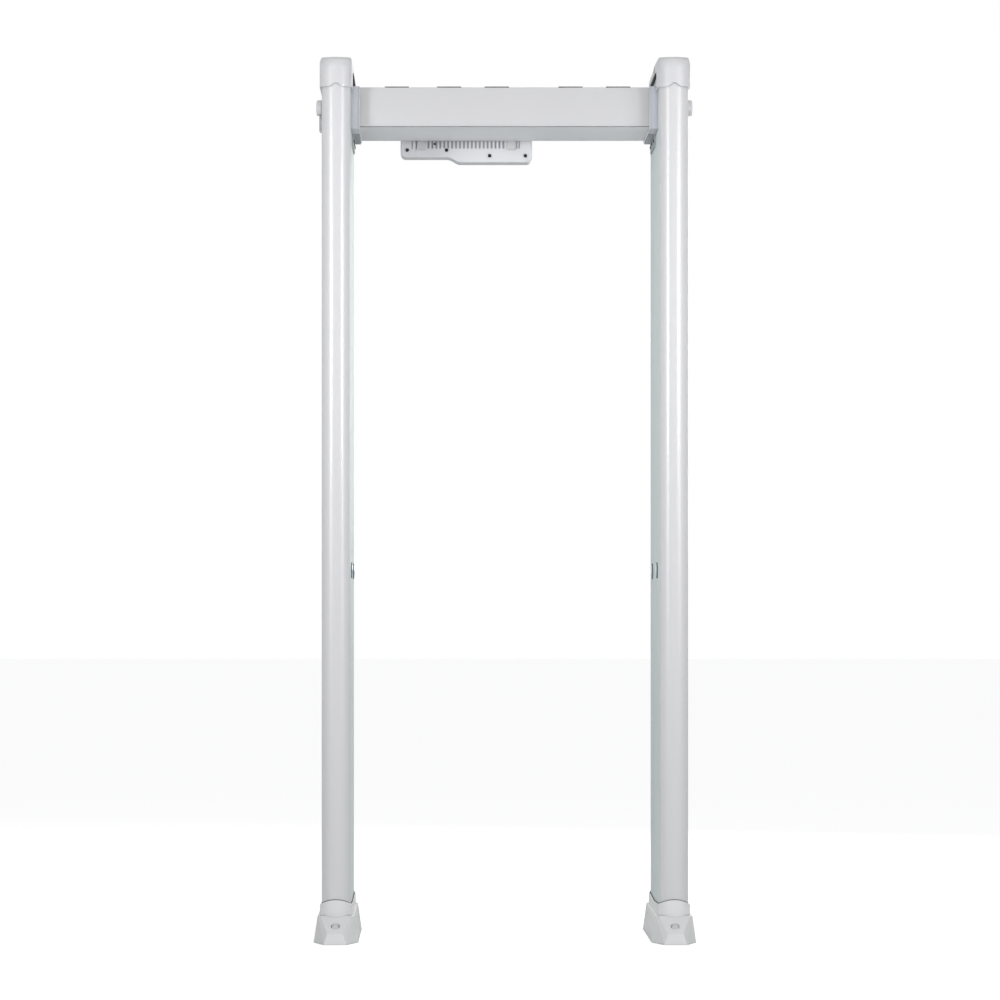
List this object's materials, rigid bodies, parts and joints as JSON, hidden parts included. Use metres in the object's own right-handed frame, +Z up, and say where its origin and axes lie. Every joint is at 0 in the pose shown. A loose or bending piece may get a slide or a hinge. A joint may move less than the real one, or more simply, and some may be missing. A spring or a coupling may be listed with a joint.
{
  "type": "security gate",
  "caption": "Walk-through metal detector gate: two upright coil columns on cast feet, joined by a crossbeam that carries a control unit.",
  "frame": {"origin": "centre of the feet's footprint, on the floor", "axes": "+Z up, +X across the passage towards the column with the status lens, +Y towards the control unit's face"},
  "size_m": [0.94, 0.606, 2.183],
  "materials": {
    "profile_white": "smooth white profile, satin gloss",
    "panel_white": "pale grey-green laminate, satin",
    "moulded_white": "moulded white, fine texture",
    "painted_casting": "white powder coat",
    "painted_sheet": "white powder coat",
    "bare_steel": "zinc-plated",
    "plated_bracket": "brushed",
    "dark_steel": "dark screws and clips",
    "brass": "machined",
    "winding": "varnished copper strip",
    "timber": "laminated board",
    "black_trim": "black, matt",
    "black_lens": "black, glossy",
    "sensor_ring": "dark grey",
    "sensor_lens": "dark grey-green, glossy",
    "circuit_board": "green board",
    "display": "dark window",
    "display_backing": "display module",
    "key_grey": "grey keys",
    "case_metal": "folded sheet"
  },
  "bodies": {
    "gate": {"left_edge_back": "profile_white", "left_edge_front": "profile_white", "left_skin_inner": "panel_white", "left_skin_outer": "profile_white", "left_core": "timber", "left_coil": "winding", "left_foot": "painted_casting", "left_cap": "moulded_white", "left_cap_trim": "black_trim", "left_saddle": "moulded_white", "left_cleat": "plated_bracket", "right_edge_back": "profile_white", "right_edge_front": "profile_white", "right_skin_inner": "panel_white", "right_skin_outer": "profile_white", "right_core": "timber", "right_coil": "winding", "right_foot": "painted_casting", "right_cap": "moulded_white", "right_cap_trim": "black_trim", "right_saddle": "moulded_white", "right_cleat": "plated_bracket", "right_cap_lens": "black_lens", "foot_screws": "bare_steel", "cleat_screws": "dark_steel", "sensor_rings": "sensor_ring", "sensor_lenses": "sensor_lens", "beam_bushes": "brass", "beam_cover_back": "painted_sheet", "beam_cover_front": "painted_sheet", "beam_tray": "painted_sheet", "beam_lid": "painted_sheet", "lid_clips": "dark_steel", "beam_end_plates": "bare_steel", "unit_bracket": "plated_bracket", "unit_rear": "moulded_white", "unit_face": "moulded_white", "unit_screws": "dark_steel", "unit_board": "circuit_board", "display_window": "display", "display_panel": "display_backing", "lock_body": "bare_steel", "power_supply": "case_metal", "inlet_socket": "moulded_white", "inlet_contacts": "brass", "inlet_hinge_pin": "bare_steel"},
    "knob_left_back": {"knob_left_back": "moulded_white", "stud_left_back": "bare_steel"},
    "knob_left_front": {"knob_left_front": "moulded_white", "stud_left_front": "bare_steel"},
    "knob_right_back": {"knob_right_back": "moulded_white", "stud_right_back": "bare_steel"},
    "knob_right_front": {"knob_right_front": "moulded_white", "stud_right_front": "bare_steel"},
    "key_1": {"key_1": "key_grey"},
    "key_2": {"key_2": "key_grey"},
    "key_3": {"key_3": "key_grey"},
    "key_4": {"key_4": "key_grey"},
    "lock_barrel": {"lock_barrel": "bare_steel"},
    "inlet_flap": {"inlet_flap": "profile_white"}
  },
  "joints": [
    {"name": "knob_left_back_turn", "type": "hinge", "parent": "gate", "child": "knob_left_back", "pos_m": [-0.45, -0.129, 2.06], "axis": [-1, 0, 0], "continuous": true},
    {"name": "knob_left_front_turn", "type": "hinge", "parent": "gate", "child": "knob_left_front", "pos_m": [-0.45, 0.129, 2.06], "axis": [-1, 0, 0], "continuous": true},
    {"name": "knob_right_back_turn", "type": "hinge", "parent": "gate", "child": "knob_right_back", "pos_m": [0.45, -0.129, 2.06], "axis": [1, 0, 0], "continuous": true},
    {"name": "knob_right_front_turn", "type": "hinge", "parent": "gate", "child": "knob_right_front", "pos_m": [0.45, 0.129, 2.06], "axis": [1, 0, 0], "continuous": true},
    {"name": "key_1_press", "type": "slide", "parent": "gate", "child": "key_1", "axis": [0, -1, 0], "range_m": [0, 0.0015], "stiffness_N_per_m": 300, "springref_m": -0.002},
    {"name": "key_2_press", "type": "slide", "parent": "gate", "child": "key_2", "axis": [0, -1, 0], "range_m": [0, 0.0015], "stiffness_N_per_m": 300, "springref_m": -0.002},
    {"name": "key_3_press", "type": "slide", "parent": "gate", "child": "key_3", "axis": [0, -1, 0], "range_m": [0, 0.0015], "stiffness_N_per_m": 300, "springref_m": -0.002},
    {"name": "key_4_press", "type": "slide", "parent": "gate", "child": "key_4", "axis": [0, -1, 0], "range_m": [0, 0.0015], "stiffness_N_per_m": 300, "springref_m": -0.002},
    {"name": "lock_turn", "type": "hinge", "parent": "gate", "child": "lock_barrel", "pos_m": [0.012, 0.22, 1.99], "axis": [0, 1, 0], "range_deg": [0, 90]},
    {"name": "inlet_flap_hinge", "type": "hinge", "parent": "gate", "child": "inlet_flap", "pos_m": [-0.455, -0.129, 2.002], "axis": [0, -1, 0], "range_deg": [0, 100]}
  ]
}
